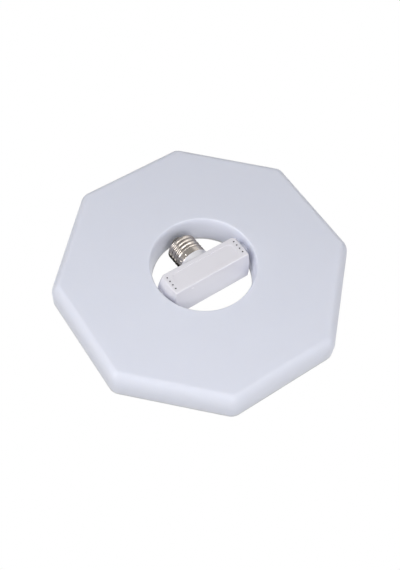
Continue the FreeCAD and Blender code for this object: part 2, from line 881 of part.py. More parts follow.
def make_screw_shell():
    """Thin rolled shell: plain skirt, round thread and drawn-in end."""
    thread_start = cap_rim_z + shell_skirt_length
    edges, thread_end = thread_edges(thread_start)
    mouth_z = contact_tip_z - contact_thickness - insulator_rise()
    skirt_inner = shell_radius - shell_thickness
    root_inner = shell_root_radius - shell_thickness
    mouth_inner = shell_mouth_radius
    edges.append(line(V(shell_radius, 0, cap_rim_z), V(shell_radius, 0, thread_start)))
    shoulder = V(shell_mouth_radius + shell_thickness, 0, mouth_z)
    edges.append(line(V(shell_radius, 0, thread_end), shoulder))
    edges.append(line(shoulder, V(mouth_inner, 0, mouth_z)))
    inner = [V(mouth_inner, 0, mouth_z)]
    inner.append(V(skirt_inner, 0, thread_end - shell_thickness))
    for k in range(2 * thread_turns - 1, 0, -1):
        z = thread_start + k * thread_pitch / 2
        inner.append(V(root_inner if k % 2 else skirt_inner, 0, z))
    inner.append(V(skirt_inner, 0, thread_start))
    inner.append(V(skirt_inner, 0, cap_rim_z))
    for first, second in zip(inner, inner[1:]):
        edges.append(line(first, second))
    edges.append(line(V(skirt_inner, 0, cap_rim_z), V(shell_radius, 0, cap_rim_z)))
    return profile_solid(edges)


def insulator_rise():
    """Height of the insulator's cone above the shell's mouth."""
    return shell_mouth_radius - insulator_tip_radius


def make_cap_insulator():
    top = contact_tip_z - contact_thickness
    mouth = top - insulator_rise()
    return revolved([
        V(contact_stem_radius + running_gap, 0, mouth - insulator_depth),
        V(shell_mouth_radius - running_gap, 0, mouth - insulator_depth / 2),
        V(shell_mouth_radius - running_gap, 0, mouth),
        V(insulator_tip_radius, 0, top),
        V(contact_stem_radius + running_gap, 0, top),
    ])


def make_centre_contact():
    low = contact_tip_z - contact_thickness
    button = cylinder(contact_radius, V(0, 0, low), contact_thickness, Z_AXIS)
    rims = []
    for edge in button.Edges:
        if len(edge.Vertexes) == 1 and abs(edge.Vertexes[0].Point.z - contact_tip_z) < running_gap:
            rims.append(edge)
    button = button.makeFillet(contact_round, rims)
    stem = cylinder(contact_stem_radius, V(0, 0, low - contact_stem_length), contact_stem_length, Z_AXIS)
    return fused([button, stem])


def pcb_limits():
    inset = housing_wall + pcb_side_gap
    return housing_foot_z + inset, housing_rim_z - inset


def make_driver_board():
    low, high = pcb_limits()
    board = box(V(-pcb_length / 2, pcb_front_y, low), V(pcb_length / 2, pcb_back_y, high))
    holes = []
    for side in (-1, 1):
        start = V(side * pcb_screw_spacing / 2, pcb_front_y - cut_overrun, housing_mid_z)
        hole_depth = pcb_thickness + 2 * cut_overrun
        holes.append(cylinder(pcb_screw_shank_radius + seat_gap, start, hole_depth, Y_AXIS))
    return board.cut(holes)


def make_driver_board_screws():
    screws = []
    for side in (-1, 1):
        seat = V(side * pcb_screw_spacing / 2, pcb_front_y, housing_mid_z)
        head = cylinder(pcb_screw_head_radius, seat, pcb_screw_head_height, -Y_AXIS)
        shank = cylinder(pcb_screw_shank_radius, seat, pcb_screw_length, Y_AXIS)
        screws.append(head.fuse(shank).removeSplitter())
    return Part.makeCompound(screws)


def on_board(length, width, height, centre_x, centre_z):
    """Block standing on the driver board."""
    return box(
        V(centre_x - length / 2, pcb_front_y - height, centre_z - width / 2),
        V(centre_x + length / 2, pcb_front_y, centre_z + width / 2),
    )


def can_on_board(radius, height, centre_x, centre_z):
    """Round can standing on the driver board."""
    return cylinder(radius, V(centre_x, pcb_front_y, centre_z), height, -Y_AXIS)


def make_transformer_core():
    """Pair of E cores: two outer legs, a middle leg and the yokes."""
    block = on_board(core_length, core_depth, core_height, core_centre, housing_mid_z)
    window_half = core_length / 2 - core_leg_thickness
    window_low = pcb_front_y - core_height + core_leg_thickness
    window = box(
        V(core_centre - window_half, window_low, housing_mid_z - core_depth),
        V(core_centre + window_half, pcb_front_y - core_leg_thickness, housing_mid_z + core_depth),
    )
    middle = cylinder(
        core_leg_thickness / 2,
        V(core_centre, pcb_front_y, housing_mid_z),
        core_height,
        -Y_AXIS,
    )
    return fused([block.cut(window), middle])


def make_transformer_winding():
    start_y = pcb_front_y - core_leg_thickness - winding_gap
    height = core_height - 2 * (core_leg_thickness + winding_gap)
    outer = cylinder(winding_radius, V(core_centre, start_y, housing_mid_z), height, -Y_AXIS)
    bore = cylinder(
        core_leg_thickness / 2 + running_gap,
        V(core_centre, pcb_front_y, housing_mid_z),
        core_height,
        -Y_AXIS,
    )
    return outer.cut(bore)


def make_filter_choke():
    """Drum choke with a waist of wire between two flanges."""
    centre_x = choke_centre_x()
    body = can_on_board(choke_radius, choke_height, centre_x, choke_centre_z())
    waist_length = choke_height - 2 * choke_flange
    start = V(centre_x, pcb_front_y - choke_flange, choke_centre_z())
    sleeve = cylinder(choke_radius + cut_overrun, start, waist_length, -Y_AXIS)
    core = cylinder(choke_radius * choke_waist_share, start, waist_length, -Y_AXIS)
    return body.cut(sleeve.cut(core))


def choke_centre_x():
    return output_centre + output_radius + small_part_gap + choke_radius


def choke_centre_z():
    return pcb_limits()[0] + small_part_gap + choke_radius


def make_fuse_resistor():
    """Fusible resistor lying along the board's edge."""
    body = cylinder(
        fuse_radius,
        V(film_centre - fuse_length / 2, pcb_front_y - fuse_lift - fuse_radius, fuse_centre_z()),
        fuse_length,
        X_AXIS,
    )
    leads = []
    for side in (-0.5, 0.5):
        start = V(film_centre + side * (fuse_length / 2 - fuse_lift), pcb_front_y, fuse_centre_z())
        leads.append(cylinder(fuse_lift, start, fuse_radius + fuse_lift, -Y_AXIS))
    return fused([body] + leads)


def fuse_centre_z():
    return pcb_limits()[1] - small_part_gap - fuse_radius


def make_bridge_rectifier():
    centre_z = pcb_limits()[0] + small_part_gap + bridge_width / 2
    return on_board(bridge_length, bridge_width, bridge_height, bulk_centre, centre_z)


def make_driver_chip():
    return on_board(chip_body_length, chip_body_width, chip_body_height, output_centre, chip_centre_z())


def chip_centre_z():
    return pcb_limits()[0] + small_part_gap + chip_body_width / 2


def bulk_centre_z():
    return pcb_limits()[1] - small_part_gap - bulk_radius


def output_centre_z():
    return pcb_limits()[1] - small_part_gap - output_radius


def mains_lead_start(side):
    """Where a mains lead leaves the driver board, beside the neck."""
    return V(side * mains_lead_spread / 2, pcb_front_y, pcb_limits()[1] - 2 * lead_radius)


def make_live_lead():
    """Lead from the board up the neck to the centre contact."""
    stem_foot = contact_tip_z - contact_thickness - contact_stem_length
    start = mains_lead_start(-1)
    mid_y = pcb_front_y - lead_bend_radius * 2
    turn_z = cap_rim_z + spigot_length / 2
    return lead([
        start,
        V(start.x, mid_y, start.z),
        V(start.x, mid_y, turn_z),
        V(0, 0, turn_z + neck_bore_radius),
        V(0, 0, stem_foot),
    ])


def make_neutral_lead():
    """Lead from the board up the neck to the inside of the screw shell."""
    start = mains_lead_start(1)
    mid_y = pcb_front_y - lead_bend_radius * 2
    spigot_top = cap_rim_z + spigot_length
    inner = shell_root_radius - shell_thickness - lead_radius - seat_gap
    return lead([
        start,
        V(start.x, mid_y, start.z),
        V(start.x, mid_y, spigot_top + lead_radius),
        V(inner, 0, spigot_top + 2 * lead_bend_radius),
    ])


def make_output_leads():
    """Pair of leads from the board out through the hollow trunnion."""
    leads = []
    exit_x = half_cavity - trunnion_flange_thickness - lead_bend_radius * 2
    for row in (-0.5, 0.5):
        start = V(exit_x - small_part_gap, pcb_front_y, row * lead_pitch)
        leads.append(lead([start, V(start.x, 0, start.z), V(trunnion_end, 0, row * lead_pitch)]))
    return Part.makeCompound(leads)


def placed_ring(shape):
    """Turn a ring piece into its stored pose and hang it below the contact."""
    copy = shape.copy()
    copy.rotate(ORIGIN, X_AXIS, 90 + fold_angle_deg)
    copy.translate(V(0, 0, -contact_tip_z))
    return copy


def placed_head(shape):
    """Hang a head piece below the contact's tip."""
    copy = shape.copy()
    copy.translate(V(0, 0, -contact_tip_z))
    return copy


def ring_pieces():
    block = make_pivot_block()
    washer = make_friction_washer()
    return {
        "diffuser": make_diffuser(),
        "back_cover": make_back_cover(),
        "led_board": make_led_board(),
        "led_chips_outer": led_circle(outer_chip_circle_radius, outer_chip_count),
        "led_chips_inner": led_circle(inner_chip_circle_radius, inner_chip_count),
        "led_board_screws": make_board_screws(),
        "board_connector": make_board_connector(),
        "cover_screws": make_cover_screws(),
        "pivot_block_right": block,
        "pivot_block_left": mirrored(block),
        "pivot_block_screws": make_block_screws(),
        "friction_washer_right": washer,
        "friction_washer_left": mirrored(washer),
        "ring_leads": make_ring_leads(),
    }


def head_pieces():
    trunnion = make_trunnion()
    nut = make_trunnion_nut()
    return {
        "driver_housing": make_driver_housing(),
        "driver_lid": make_driver_lid(),
        "trunnion_right": trunnion,
        "trunnion_left": mirrored(trunnion),
        "trunnion_nut_right": nut,
        "trunnion_nut_left": mirrored(nut),
        "screw_shell": make_screw_shell(),
        "cap_insulator": make_cap_insulator(),
        "centre_contact": make_centre_contact(),
        "driver_board": make_driver_board(),
        "driver_board_screws": make_driver_board_screws(),
        "transformer_core": make_transformer_core(),
        "transformer_winding": make_transformer_winding(),
        "bulk_capacitor": can_on_board(bulk_radius, bulk_height, bulk_centre, bulk_centre_z()),
        "output_capacitor": can_on_board(output_radius, output_height, output_centre, output_centre_z()),
        "film_capacitor": on_board(film_length, film_width, film_height, film_centre, housing_mid_z),
        "filter_choke": make_filter_choke(),
        "fuse_resistor": make_fuse_resistor(),
        "bridge_rectifier": make_bridge_rectifier(),
        "driver_chip": make_driver_chip(),
        "live_lead": make_live_lead(),
        "neutral_lead": make_neutral_lead(),
        "output_leads": make_output_leads(),
    }


os.makedirs("parts", exist_ok=True)
pieces = {}
for name, shape in ring_pieces().items():
    pieces[name] = placed_ring(shape)
for name, shape in head_pieces().items():
    pieces[name] = placed_head(shape)
for name, shape in pieces.items():
    shape.exportStep("parts/" + name + ".step")
    print(name, shape.isValid(), len(shape.Solids), round(shape.Volume, 1))
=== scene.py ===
"""Folding ring ceiling light: finishes, fine pieces and studio around the packed part."""
import json
import math

import bpy
import numpy as np
from mathutils import Matrix, Vector


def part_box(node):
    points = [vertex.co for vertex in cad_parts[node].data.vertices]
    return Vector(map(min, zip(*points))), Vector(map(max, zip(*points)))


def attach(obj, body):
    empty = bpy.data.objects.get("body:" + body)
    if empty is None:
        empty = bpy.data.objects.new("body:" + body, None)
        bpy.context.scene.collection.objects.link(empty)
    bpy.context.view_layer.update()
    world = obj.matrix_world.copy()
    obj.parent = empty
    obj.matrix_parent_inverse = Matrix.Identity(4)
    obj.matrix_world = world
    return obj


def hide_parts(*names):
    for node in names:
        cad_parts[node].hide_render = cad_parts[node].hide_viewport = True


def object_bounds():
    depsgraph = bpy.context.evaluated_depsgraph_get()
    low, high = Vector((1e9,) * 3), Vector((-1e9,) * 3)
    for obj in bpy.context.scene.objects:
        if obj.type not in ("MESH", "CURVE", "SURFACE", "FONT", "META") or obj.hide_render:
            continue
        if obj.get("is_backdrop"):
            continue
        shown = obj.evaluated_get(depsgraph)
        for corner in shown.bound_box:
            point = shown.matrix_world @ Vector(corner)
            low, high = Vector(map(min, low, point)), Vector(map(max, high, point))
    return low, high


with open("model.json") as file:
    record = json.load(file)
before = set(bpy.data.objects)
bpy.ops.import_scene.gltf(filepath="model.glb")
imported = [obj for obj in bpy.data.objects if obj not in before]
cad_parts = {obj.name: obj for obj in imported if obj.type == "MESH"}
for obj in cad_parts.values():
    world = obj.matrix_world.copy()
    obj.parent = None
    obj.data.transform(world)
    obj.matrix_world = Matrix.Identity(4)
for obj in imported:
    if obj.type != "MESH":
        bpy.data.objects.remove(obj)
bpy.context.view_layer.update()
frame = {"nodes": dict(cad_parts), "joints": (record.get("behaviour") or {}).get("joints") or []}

bl_info = {
    "name": "Folding ring ceiling light",
    "version": (1, 0, 0),
    "blender": (4, 5, 0),
    "location": "View3D > Sidebar > Ring Light",
    "description": "Dresses the folding ring ceiling light and sets up its studio",
    "category": "Object",
}

HEAD = "driver_head"
RING = "lamp_ring"
MM = 0.001

# Pose of the ring in the part's frame: middle of the pivot, and the ring's own axes at rest.
PIVOT = Vector(frame["joints"][0]["pos_m"])
FOLD = math.radians(7.0)
RING_NORMAL = Vector((0.0, -math.cos(FOLD), -math.sin(FOLD)))
RING_UP = Vector((0.0, -math.sin(FOLD), math.cos(FOLD)))
RING_RIGHT = Vector((1.0, 0.0, 0.0))


def colour(red, green, blue):
    """Linear colour of an sRGB triple from 0 to 255, by the two-part curve of that standard."""
    values = np.array([red, green, blue]) / 255.0
    linear = np.where(values <= 0.04045, values / 12.92, ((values + 0.055) / 1.055) ** 2.4)
    return tuple(float(v) for v in linear)


class RINGLIGHT_PG_ring(bpy.types.PropertyGroup):
    """Finish of the ring."""

    diffuser_tint: bpy.props.FloatVectorProperty(
        name="Diffuser", description="Colour of the milky front",
        subtype="COLOR", default=colour(228, 231, 248)
    )
    diffuser_roughness: bpy.props.FloatProperty(
        name="Diffuser Roughness", description="Satin of the milky front",
        default=0.48, min=0.0, max=1.0, subtype="FACTOR"
    )
    cover_tint: bpy.props.FloatVectorProperty(
        name="Back Cover", description="Colour of the back cover",
        subtype="COLOR", default=colour(214, 215, 220)
    )


class RINGLIGHT_PG_head(bpy.types.PropertyGroup):
    """Finish of the driver box."""

    housing_tint: bpy.props.FloatVectorProperty(
        name="Housing", description="Colour of the driver box",
        subtype="COLOR", default=colour(234, 233, 238)
    )
    lid_tint: bpy.props.FloatVectorProperty(
        name="Lid", description="Colour of the driver box's lid",
        subtype="COLOR", default=colour(235, 233, 240)
    )
    housing_roughness: bpy.props.FloatProperty(
        name="Housing Roughness", description="Satin of the driver box",
        default=0.26, min=0.0, max=1.0, subtype="FACTOR"
    )
    vent_row_distance: bpy.props.FloatProperty(
        name="Vent Row Distance", description="Distance of each row of vents from the middle",
        subtype="DISTANCE", default=32.6 * MM
    )
    # Painted shade inside the vents, where light from the room doesn't reach.
    painted_vent_shade: bpy.props.FloatVectorProperty(
        name="Vent Shade", description="Tone inside the vents",
        subtype="COLOR", default=colour(20, 19, 20)
    )


class RINGLIGHT_PG_cap(bpy.types.PropertyGroup):
    """Size and finish of the screw cap."""

    crest_radius: bpy.props.FloatProperty(
        name="Crest Radius", description="Outer radius of the thread",
        subtype="DISTANCE", default=13.1 * MM
    )
    root_radius: bpy.props.FloatProperty(
        name="Root Radius", description="Radius at the bottom of the thread",
        subtype="DISTANCE", default=12.2 * MM
    )
    pitch: bpy.props.FloatProperty(
        name="Pitch", description="Rise of the thread in one turn",
        subtype="DISTANCE", default=3.629 * MM
    )
    skirt: bpy.props.FloatProperty(
        name="Skirt", description="Plain length before the thread",
        subtype="DISTANCE", default=4.6 * MM
    )
    mouth_radius: bpy.props.FloatProperty(
        name="Mouth Radius", description="Outer radius at the drawn-in end",
        subtype="DISTANCE", default=10.05 * MM
    )
    wall: bpy.props.FloatProperty(
        name="Wall", description="Thickness of the rolled shell",
        subtype="DISTANCE", default=0.3 * MM
    )
    punch_depth: bpy.props.FloatProperty(
        name="Punch Depth", description="Depth of the points that hold the shell on its neck",
        subtype="DISTANCE", default=0.55 * MM
    )
    metal_tint: bpy.props.FloatVectorProperty(
        name="Plating", description="Colour of the plating",
        subtype="COLOR", default=colour(206, 198, 190)
    )


class RINGLIGHT_PG_screws(bpy.types.PropertyGroup):
    """Shape and finish of the screws driven from behind."""

    head_height: bpy.props.FloatProperty(
        name="Head Height", description="Depth of the countersunk head",
        subtype="DISTANCE", default=1.6 * MM
    )
    shank_radius: bpy.props.FloatProperty(
        name="Shank Radius", description="Outer radius of the thread",
        subtype="DISTANCE", default=1.4 * MM
    )
    tip_length: bpy.props.FloatProperty(
        name="Tip Length", description="Length over which the tip narrows",
        subtype="DISTANCE", default=1.8 * MM
    )
    thread_pitch: bpy.props.FloatProperty(
        name="Thread Pitch", description="Rise of the thread in one turn",
        subtype="DISTANCE", default=1.25 * MM
    )
    thread_share: bpy.props.FloatProperty(
        name="Thread Depth Share", description="Depth of the thread as a share of its radius",
        default=0.26, min=0.0, max=1.0, subtype="FACTOR"
    )
    recess_width: bpy.props.FloatProperty(
        name="Recess Width", description="Width of one wing of the cross",
        subtype="DISTANCE", default=0.75 * MM
    )
    recess_depth: bpy.props.FloatProperty(
        name="Recess Depth", description="Depth of the cross at its middle",
        subtype="DISTANCE", default=1.0 * MM
    )
    recess_share: bpy.props.FloatProperty(
        name="Recess Reach Share", description="Reach of the cross as a share of the head's radius",
        default=0.6, min=0.0, max=1.0, subtype="FACTOR"
    )
    metal_tint: bpy.props.FloatVectorProperty(
        name="Zinc", description="Colour of the plating",
        subtype="COLOR", default=colour(186, 188, 192)
    )


class RINGLIGHT_PG_studio(bpy.types.PropertyGroup):
    """Studio round the light."""

    ambient: bpy.props.FloatProperty(
        name="Ambient", description="Even light from all round",
        default=0.4, min=0.0
    )
    key_power: bpy.props.FloatProperty(
        name="Key", description="Power of the large soft lamp at the left",
        default=3.3, min=0.0, unit="POWER"
    )
    low_power: bpy.props.FloatProperty(
        name="Low", description="Power of the soft lamp below the front",
        default=4.5, min=0.0, unit="POWER"
    )
    line_power: bpy.props.FloatProperty(
        name="Line", description="Power of the lamp that is only mirrored in the thread",
        default=6.0, min=0.0, unit="POWER"
    )
    back_power: bpy.props.FloatProperty(
        name="Back", description="Power of the soft lamp above the back",
        default=2.8, min=0.0, unit="POWER"
    )
    floor_drop: bpy.props.FloatProperty(
        name="Floor Drop", description="How far the floor lies below the light",
        subtype="DISTANCE", default=0.75
    )


def new_material(name):
    """Empty node material with its shader and output."""
    material = bpy.data.materials.new(name)
    material.use_nodes = True
    tree = material.node_tree
    tree.nodes.clear()
    output = tree.nodes.new("ShaderNodeOutputMaterial")
    shader = tree.nodes.new("ShaderNodeBsdfPrincipled")
    tree.links.new(shader.outputs["BSDF"], output.inputs["Surface"])
    return material, tree, shader


def new_group(name, inputs, outputs):
    """Node group whose inputs have names and number or colour defaults, and whose outputs have types."""
    tree = bpy.data.node_groups.new(name, "ShaderNodeTree")
    for label, value in inputs:
        kind = "NodeSocketColor" if isinstance(value, tuple) else "NodeSocketFloat"
        socket = tree.interface.new_socket(label, in_out="INPUT", socket_type=kind)
        socket.default_value = (*value, 1.0) if isinstance(value, tuple) else value
    for label, kind in outputs:
        tree.interface.new_socket(label, in_out="OUTPUT", socket_type=kind)
    source = tree.nodes.new("NodeGroupInput")
    sink = tree.nodes.new("NodeGroupOutput")
    return tree, source, sink


def maths(tree, operation, first, second=None):
    """Math node of one or two inputs, each a number or a socket."""
    node = tree.nodes.new("ShaderNodeMath")
    node.operation = operation
    for index, value in enumerate((first, second)):
        if value is None:
            continue
        if isinstance(value, (int, float)):
            node.inputs[index].default_value = value
        else:
            tree.links.new(value, node.inputs[index])
    return node.outputs[0]


def noise(tree, scale, detail=3.0, roughness=0.5):
    """Noise on the piece's own coordinates; scale is a number or a socket."""
    place = tree.nodes.new("ShaderNodeTexCoord")
    node = tree.nodes.new("ShaderNodeTexNoise")
    tree.links.new(place.outputs["Object"], node.inputs["Vector"])
    if isinstance(scale, (int, float)):
        node.inputs["Scale"].default_value = scale
    else:
        tree.links.new(scale, node.inputs["Scale"])
    node.inputs["Detail"].default_value = detail
    node.inputs["Roughness"].default_value = roughness
    return node.outputs["Fac"]


# Scales of the slow noises per metre: drift of a plastic's colour, and blotches in plastic and in metal.
DRIFT_SCALE = 14.0
PLASTIC_BLOTCH_SCALE = 60.0
METAL_BLOTCH_SCALE = 120.0


def link_colour(tree, source, sink, gain):
    """Color output = Tint input times a gain."""
    scaled = tree.nodes.new("ShaderNodeVectorMath")
    scaled.operation = "SCALE"
    tree.links.new(source.outputs["Tint"], scaled.inputs[0])
    tree.links.new(gain, scaled.inputs["Scale"])
    tree.links.new(scaled.outputs[0], sink.inputs["Color"])


def link_roughness(tree, source, sink, blotch):
    """Roughness output = Roughness input plus Roughness Spread times (blotch noise minus a half)."""
    centred = maths(tree, "SUBTRACT", blotch, 0.5)
    spread = maths(tree, "MULTIPLY", centred, source.outputs["Roughness Spread"])
    total = maths(tree, "ADD", source.outputs["Roughness"], spread)
    tree.links.new(total, sink.inputs["Roughness"])


def mould_group():
    """Moulded plastic: colour drifts softly with place, and a fine spark-eroded grain covers the surface.

    Color = tint times (1 plus drift times (slow noise minus a half)). Height = the fine noise.
    """
    tree, source, sink = new_group(
        "Moulded Surface",
        [("Tint", (0.8, 0.8, 0.8)), ("Drift", 0.03), ("Grain Scale", 1800.0), ("Roughness", 0.35),
         ("Roughness Spread", 0.06)],
        [("Color", "NodeSocketColor"), ("Roughness", "NodeSocketFloat"), ("Height", "NodeSocketFloat")],
    )
    slow = noise(tree, DRIFT_SCALE, detail=2.0)
    centred = maths(tree, "SUBTRACT", slow, 0.5)
    drift = maths(tree, "MULTIPLY", centred, source.outputs["Drift"])
    link_colour(tree, source, sink, maths(tree, "ADD", drift, 1.0))
    grain = noise(tree, source.outputs["Grain Scale"], detail=2.0, roughness=0.6)
    tree.links.new(grain, sink.inputs["Height"])
    link_roughness(tree, source, sink, noise(tree, PLASTIC_BLOTCH_SCALE, detail=3.0))
    return tree


def metal_group():
    """Plated or drawn metal: roughness and tone vary with soft blotches and fine marks.

    Color = tint times (1 minus marks times the mark noise). Height = the mark noise.
    """
    tree, source, sink = new_group(
        "Worked Metal",
        [("Tint", (0.6, 0.6, 0.6)), ("Marks", 0.12), ("Mark Scale", 700.0), ("Roughness", 0.25),
         ("Roughness Spread", 0.12)],
        [("Color", "NodeSocketColor"), ("Roughness", "NodeSocketFloat"), ("Height", "NodeSocketFloat")],
    )
    marks = noise(tree, source.outputs["Mark Scale"], detail=5.0, roughness=0.65)
    shade = maths(tree, "MULTIPLY", marks, source.outputs["Marks"])
    link_colour(tree, source, sink, maths(tree, "SUBTRACT", 1.0, shade))
    link_roughness(tree, source, sink, noise(tree, METAL_BLOTCH_SCALE, detail=4.0))
    tree.links.new(marks, sink.inputs["Height"])
    return tree


GROUPS = {}


def group(name, builder):
    """Node group built once under a name."""
    if name not in GROUPS:
        GROUPS[name] = builder()
    return GROUPS[name]


# Strength of the bump of a plastic's grain and of a metal's marks.
GRAIN_STRENGTH = 0.35
MARK_STRENGTH = 0.3
# How far red, green and blue light spread in milky plastic, as shares of its bleed.
BLEED_SHARES = (1.0, 0.95, 0.9)
COAT_ROUGHNESS = 0.12
# Painted dark reflection on plating towards its silhouette: how late it sets in, its colour, and the tint of
# its last sheen.
EDGE_POWER = 2.5
EDGE_PAINTED_SHADE = (0.02, 0.018, 0.015, 1.0)
EDGE_PAINTED_SHEEN = (0.6, 0.56, 0.52, 1.0)


def link_surface(tree, shader, node, strength, depth):
    """Links a surface group's roughness and height to a shader, the height as a bump of a given depth."""
    tree.links.new(node.outputs["Roughness"], shader.inputs["Roughness"])
    bump = tree.nodes.new("ShaderNodeBump")
    bump.inputs["Strength"].default_value = strength
    bump.inputs["Distance"].default_value = depth
    tree.links.new(node.outputs["Height"], bump.inputs["Height"])
    tree.links.new(bump.outputs["Normal"], shader.inputs["Normal"])


def moulded(name, tint, roughness=0.35, drift=0.03, grain_scale=1800.0, grain_depth=0.00001,
            subsurface=0.0, specular=0.5, coat=0.0, bleed=0.003):
    """Plastic finish with grain, milky by the subsurface share and glazed by the coat's share."""
    material, tree, shader = new_material(name)
    node = tree.nodes.new("ShaderNodeGroup")
    node.node_tree = group("mould", mould_group)
    node.inputs["Tint"].default_value = (*tint, 1.0)
    node.inputs["Drift"].default_value = drift
    node.inputs["Grain Scale"].default_value = grain_scale
    node.inputs["Roughness"].default_value = roughness
    tree.links.new(node.outputs["Color"], shader.inputs["Base Color"])
    link_surface(tree, shader, node, GRAIN_STRENGTH, grain_depth)
    shader.inputs["Specular IOR Level"].default_value = specular
    if subsurface:
        shader.inputs["Subsurface Weight"].default_value = subsurface
        shader.inputs["Subsurface Radius"].default_value = BLEED_SHARES
        shader.inputs["Subsurface Scale"].default_value = bleed
    if coat:
        shader.inputs["Coat Weight"].default_value = coat
        shader.inputs["Coat Roughness"].default_value = COAT_ROUGHNESS
    return material


def metal(name, tint, roughness=0.25, marks=0.12, mark_scale=700.0, depth=0.000004, painted_edge_shade=0.0):
    """Metal finish with fine marks, with a painted dark reflection towards its silhouette whose strength is
    the given share.
    """
    material, tree, shader = new_material(name)
    node = tree.nodes.new("ShaderNodeGroup")
    node.node_tree = group("metal", metal_group)
    node.inputs["Tint"].default_value = (*tint, 1.0)
    node.inputs["Marks"].default_value = marks
    node.inputs["Mark Scale"].default_value = mark_scale
    node.inputs["Roughness"].default_value = roughness
    # Painted dark reflection: colour and sheen darken towards the silhouette.
    if painted_edge_shade:
        facing = tree.nodes.new("ShaderNodeLayerWeight")
        facing.inputs["Blend"].default_value = 0.5
        fall = maths(tree, "MULTIPLY", maths(tree, "POWER", facing.outputs["Facing"], EDGE_POWER), painted_edge_shade)
        dark = tree.nodes.new("ShaderNodeMix")
        dark.data_type = "RGBA"
        dark.blend_type = "MULTIPLY"
        tree.links.new(fall, dark.inputs["Factor"])
        tree.links.new(node.outputs["Color"], dark.inputs["A"])
        dark.inputs["B"].default_value = EDGE_PAINTED_SHADE
        tree.links.new(dark.outputs["Result"], shader.inputs["Base Color"])
        shader.inputs["Specular Tint"].default_value = EDGE_PAINTED_SHEEN
    else:
        tree.links.new(node.outputs["Color"], shader.inputs["Base Color"])
    link_surface(tree, shader, node, MARK_STRENGTH, depth)
    shader.inputs["Metallic"].default_value = 1.0
    return material


def vent_group():
    """Mask that is 1 inside the lid's vents, where shade is painted.

    A point is inside where its distance to the nearer vent row's middle line is less than the reach, it is
    no further along the row than the half length and it lies deeper than the skin below the lid's face.
    """
    tree, source, sink = new_group(
        "Vent Depth",
        [("Row Distance", 0.0326), ("Reach", 0.0009), ("Row Middle", -0.0443), ("Half Length", 0.0075),
         ("Face", -0.0147), ("Skin", 0.00012)],
        [("Mask", "NodeSocketFloat")],
    )
    place = tree.nodes.new("ShaderNodeTexCoord")
    split = tree.nodes.new("ShaderNodeSeparateXYZ")
    tree.links.new(place.outputs["Object"], split.inputs[0])
    side = maths(tree, "ABSOLUTE", split.outputs["X"])
    away = maths(tree, "ABSOLUTE", maths(tree, "SUBTRACT", side, source.outputs["Row Distance"]))
    near = maths(tree, "LESS_THAN", away, source.outputs["Reach"])
    depth = maths(tree, "SUBTRACT", split.outputs["Y"], source.outputs["Face"])
    deep = maths(tree, "GREATER_THAN", depth, source.outputs["Skin"])
    rise = maths(tree, "SUBTRACT", split.outputs["Z"], source.outputs["Row Middle"])
    along = maths(tree, "ABSOLUTE", rise)
    within = maths(tree, "LESS_THAN", along, source.outputs["Half Length"])
    inside = maths(tree, "MULTIPLY", maths(tree, "MULTIPLY", near, within), deep)
    tree.links.new(inside, sink.inputs["Mask"])
    return tree


def shade_vents(material, look):
    """Paints shade into a finish inside the vents, where light from the room doesn't reach."""
    tree = material.node_tree
    shader = [node for node in tree.nodes if node.type == "BSDF_PRINCIPLED"][0]
    vents = tree.nodes.new("ShaderNodeGroup")
    vents.node_tree = group("vents", vent_group)
    vents.inputs["Row Distance"].default_value = look.vent_row_distance
    mix = tree.nodes.new("ShaderNodeMix")
    mix.data_type = "RGBA"
    tree.links.new(vents.outputs["Mask"], mix.inputs["Factor"])
    tree.links.new(shader.inputs["Base Color"].links[0].from_socket, mix.inputs["A"])
    mix.inputs["B"].default_value = (*look.painted_vent_shade, 1.0)
    tree.links.new(mix.outputs["Result"], shader.inputs["Base Color"])


def dress(node, material):
    """Gives a CAD node its finish."""
    piece = frame["nodes"][node]
    if not piece.material_slots:
        piece.data.materials.append(material)
    for slot in piece.material_slots:
        slot.material = material


def joined_grids(name, grids):
    """One mesh of several equal grids that wrap in their second direction."""
    rows, columns = grids[0].shape[:2]
    index = np.arange(rows * columns).reshape(rows, columns)
    index = np.hstack([index, index[:, :1]])
    corners = [index[:-1, :-1], index[1:, :-1], index[1:, 1:], index[:-1, 1:]]
    quads = np.stack(corners, axis=-1).reshape(-1, 4)
    faces = np.concatenate([quads + k * rows * columns for k in range(len(grids))])
    points = np.concatenate([grid.reshape(-1, 3) for grid in grids])
    mesh = bpy.data.meshes.new(name)
    mesh.from_pydata(points.tolist(), [], faces.tolist())
    mesh.update()
    mesh.shade_smooth()
    piece = bpy.data.objects.new(name, mesh)
    bpy.context.scene.collection.objects.link(piece)
    return piece


class RINGLIGHT_OT_ring(bpy.types.Operator):
    """Gives the diffuser and back cover their finishes."""

    bl_idname = "ringlight.ring"
    bl_label = "Dress Ring"

    def execute(self, context):
        look = context.scene.ringlight_ring
        diffuser = moulded(
            "milky diffuser", look.diffuser_tint, look.diffuser_roughness, drift=0.02, grain_scale=2600.0,
            grain_depth=0.000008, subsurface=0.6, specular=0.35, bleed=0.005
        )
        dress("diffuser", diffuser)
        cover = moulded(
            "grained back cover", look.cover_tint, roughness=0.5, drift=0.04, grain_scale=1100.0,
            grain_depth=0.00003
        )
        dress("back_cover", cover)
        return {"FINISHED"}


class RINGLIGHT_OT_driver_box(bpy.types.Operator):
    """Gives the driver box and its lid their finish."""

    bl_idname = "ringlight.driver_box"
    bl_label = "Dress Driver Box"

    def execute(self, context):
        look = context.scene.ringlight_head
        satin = {
            "roughness": look.housing_roughness, "drift": 0.025, "grain_scale": 2200.0, "subsurface": 0.1,
            "specular": 0.8
        }
        housing = moulded("satin white housing", look.housing_tint, **satin)
        dress("driver_housing", housing)
        lid = moulded("satin white lid", look.lid_tint, **satin)
        # The lid's finish gets painted shade inside its vents.
        shade_vents(lid, look)
        dress("driver_lid", lid)
        return {"FINISHED"}


